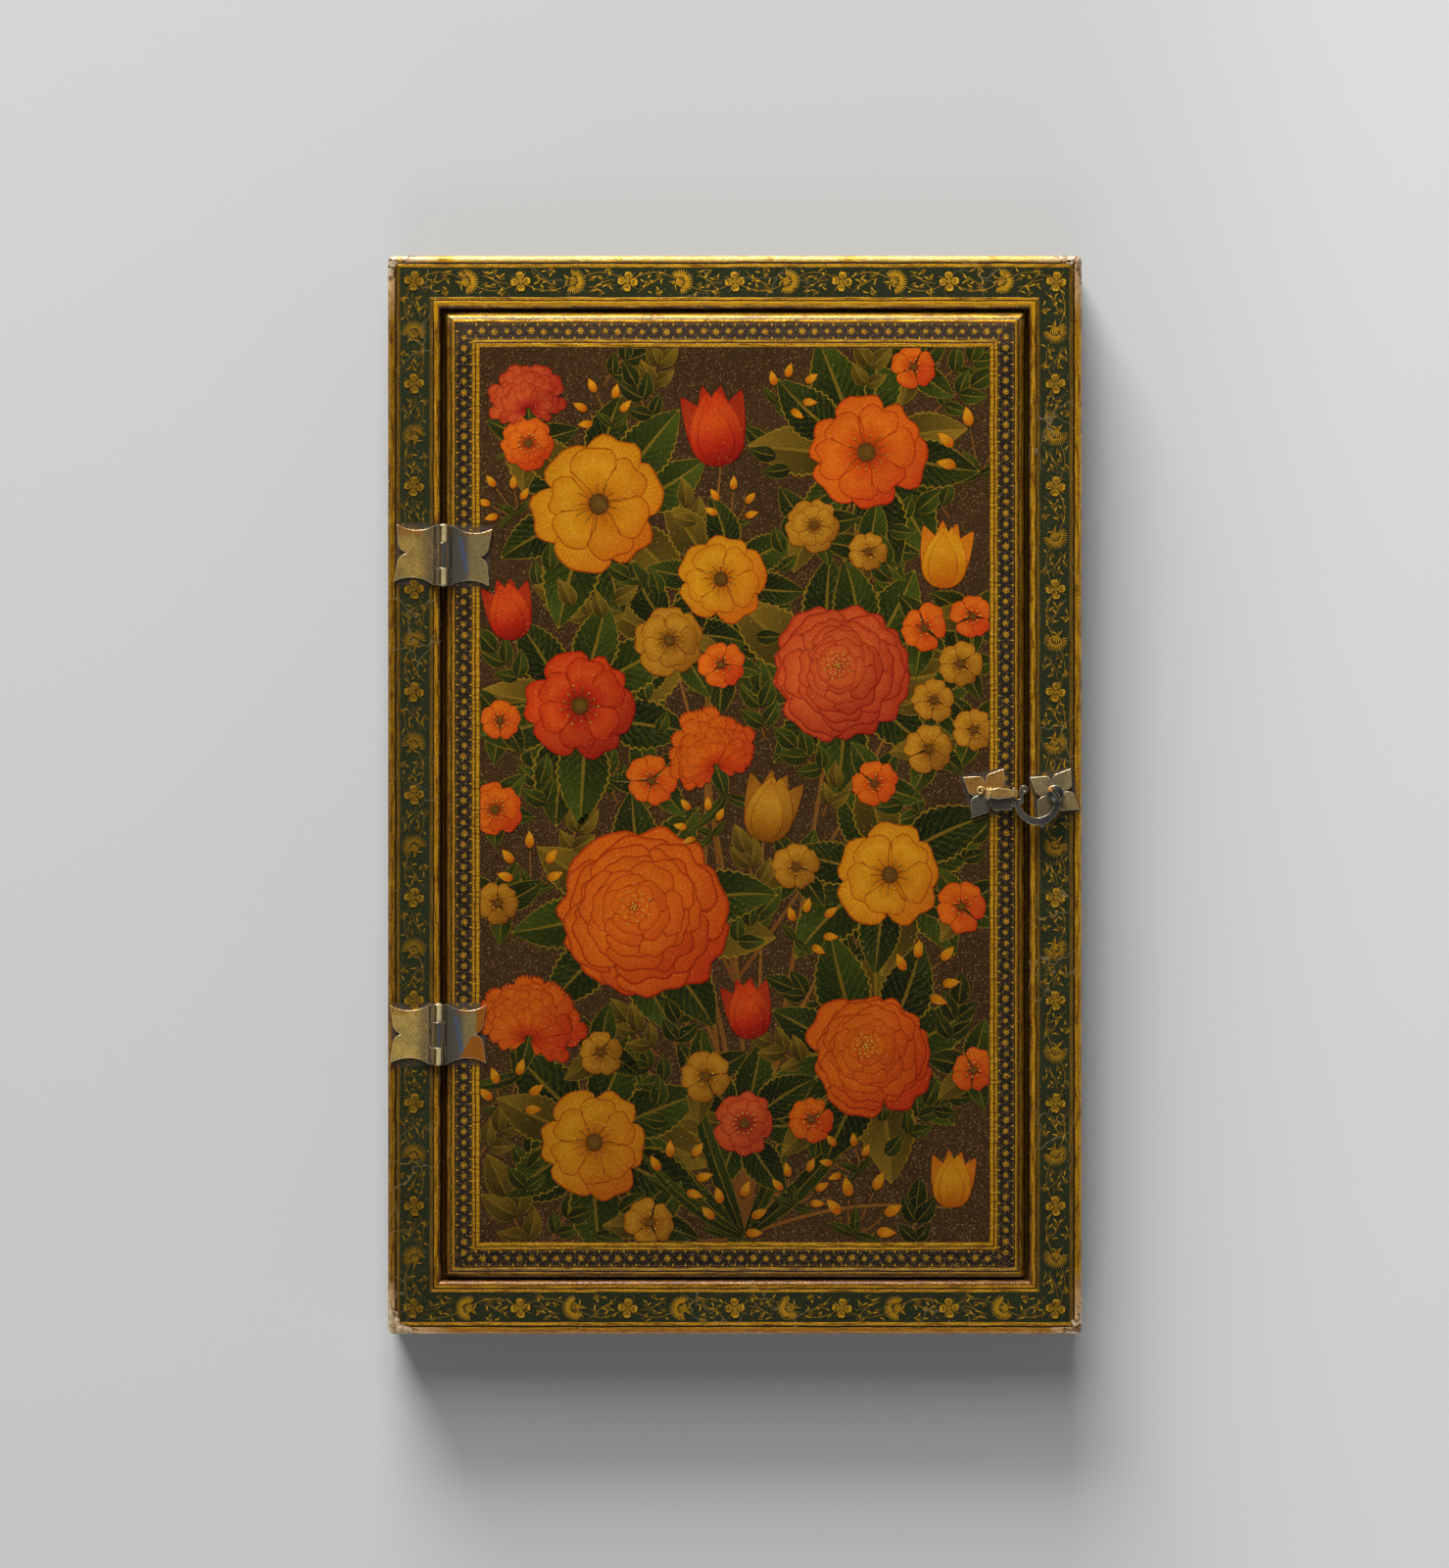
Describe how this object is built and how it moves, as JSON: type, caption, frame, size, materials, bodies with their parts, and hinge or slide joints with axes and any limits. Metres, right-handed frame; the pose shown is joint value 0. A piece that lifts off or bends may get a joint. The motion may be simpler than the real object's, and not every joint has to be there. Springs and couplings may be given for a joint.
{
  "type": "lacquer mirror case",
  "caption": "Flat lacquered mirror case: a mitred frame holding a looking glass, with a painted door on scalloped brass hinges, held shut by a turning hook in a looped catch.",
  "frame": {"origin": "middle of the case's back face, on the surface it lies on", "axes": "+X to the right across the door towards the latch, +Y to the top of the case, +Z out of the door's face"},
  "size_m": [0.148, 0.23, 0.0219],
  "materials": {
    "frame_lacquer": "dark green painted board with gold ornament under amber varnish",
    "door_lacquer": "brown painted board with flowers and gold ornament under amber varnish",
    "back_lacquer": "red-brown painted board with gold rules under varnish",
    "gilding": "gilded wood",
    "backing_paper": "plain paper",
    "mirror": "silvered glass",
    "hinge_brass": "tarnished sheet brass",
    "latch_brass": "tarnished wrought brass"
  },
  "bodies": {
    "case": {"back_board": "back_lacquer", "rail_top": "frame_lacquer", "rail_bottom": "frame_lacquer", "rail_left": "frame_lacquer", "rail_right": "frame_lacquer", "mirror_backing": "backing_paper", "mirror_glass": "mirror", "slip_top": "gilding", "slip_bottom": "gilding", "slip_left": "gilding", "slip_right": "gilding", "upper_hinge_frame_leaf": "hinge_brass", "upper_hinge_pin": "hinge_brass", "lower_hinge_frame_leaf": "hinge_brass", "lower_hinge_pin": "hinge_brass", "hook_rosette": "latch_brass", "hook_pivot": "latch_brass"},
    "door": {"door_board": "door_lacquer", "upper_hinge_door_leaf": "hinge_brass", "lower_hinge_door_leaf": "hinge_brass", "catch_rosette": "latch_brass", "catch_staple": "latch_brass"},
    "hook": {"hook": "latch_brass"}
  },
  "joints": [
    {"name": "door_hinge", "type": "hinge", "parent": "case", "child": "door", "pos_m": [-0.0627, 0, 0.01945], "axis": [-0.0105, -0.9999, 0], "range_deg": [0, 170]},
    {"name": "hook_pivot", "type": "hinge", "parent": "case", "child": "hook", "pos_m": [0.0681, 0.0003, 0.02], "axis": [0, 0, 1], "range_deg": [0, 90]}
  ]
}
